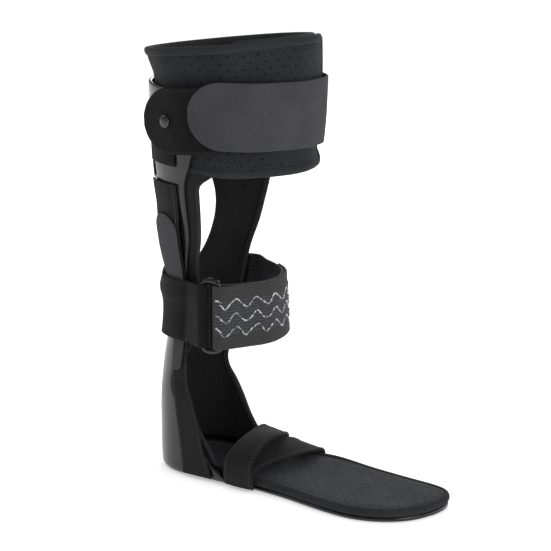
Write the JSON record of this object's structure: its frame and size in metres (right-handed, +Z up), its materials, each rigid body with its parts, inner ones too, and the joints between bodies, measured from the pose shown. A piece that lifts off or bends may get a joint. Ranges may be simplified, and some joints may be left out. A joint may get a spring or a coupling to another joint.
{
  "type": "ankle foot orthosis",
  "caption": "Ankle foot orthosis for the right foot: plastic shell with open rear window, lined calf cuff, full footplate and calf, ankle and foot straps.",
  "frame": {"origin": "centre of the heel on the lower face of the sole", "axes": "+X towards the toes, +Y medial (the wearer's left), +Z up"},
  "size_m": [0.2476, 0.1376, 0.3466],
  "materials": {
    "shell_plastic": "black moulded polypropylene, polished outside",
    "ring_plastic": "black moulded ring",
    "liner_fabric": "perforated foam lining faced with knitted fabric",
    "footbed_fabric": "perforated fabric-faced foam",
    "binding_fabric": "sewn binding tape",
    "loop_fabric": "brushed loop fabric",
    "hook_fabric": "fine hook tape, charcoal",
    "elastic_fabric": "ribbed elastic webbing",
    "strap_webbing": "soft woven strap",
    "silicone": "clear grey silicone beads",
    "rivet_metal": "black painted domed rivet"
  },
  "bodies": {
    "brace": {"shell": "shell_plastic", "calf_liner": "liner_fabric", "cuff_binding_top": "binding_fabric", "cuff_binding_low": "binding_fabric", "cuff_binding_edge": "binding_fabric", "lower_liner": "liner_fabric", "liner_binding_lateral": "binding_fabric", "liner_binding_medial": "binding_fabric", "footbed": "footbed_fabric", "footbed_binding": "binding_fabric", "sleeve_lateral": "loop_fabric", "sleeve_medial": "loop_fabric", "sleeve_end_lateral": "loop_fabric", "sleeve_end_medial": "loop_fabric", "hook_strip_lateral": "hook_fabric", "hook_strip_medial": "hook_fabric", "calf_tab": "loop_fabric", "calf_strap_base": "hook_fabric", "calf_rivet_lateral": "rivet_metal", "calf_rivet_medial": "rivet_metal", "ankle_loop_strap": "loop_fabric", "ankle_elastic_inner": "elastic_fabric", "foot_strap_lower": "strap_webbing", "foot_strap_base": "strap_webbing"},
    "calf_strap_free": {"calf_strap_end": "hook_fabric"},
    "ankle_strap_free": {"ankle_elastic_outer": "elastic_fabric", "grip_wave_1": "silicone", "grip_wave_2": "silicone", "grip_wave_3": "silicone"},
    "ring": {"ankle_ring": "ring_plastic"},
    "foot_strap_free": {"foot_strap_end": "strap_webbing"}
  },
  "joints": [
    {"name": "calf_strap_peel", "type": "hinge", "parent": "brace", "child": "calf_strap_free", "pos_m": [0.08765, 0.0361, 0.286], "axis": [0.0491, 0.0208, 0.9986], "range_deg": [0, 70]},
    {"name": "ankle_strap_peel", "type": "hinge", "parent": "brace", "child": "ankle_strap_free", "pos_m": [0.0485, -0.0485, 0.1355], "axis": [0, 0, -1], "range_deg": [0, 70]},
    {"name": "foot_strap_peel", "type": "hinge", "parent": "brace", "child": "foot_strap_free", "pos_m": [0.056, -0.0025, 0.03465], "axis": [-0.9914, -0.0342, -0.1265], "range_deg": [0, 80]},
    {"name": "ring_swing", "type": "hinge", "parent": "brace", "child": "ring", "pos_m": [0.0325, -0.0466, 0.1356], "axis": [0, 0, 1], "range_deg": [-4, 4]}
  ]
}
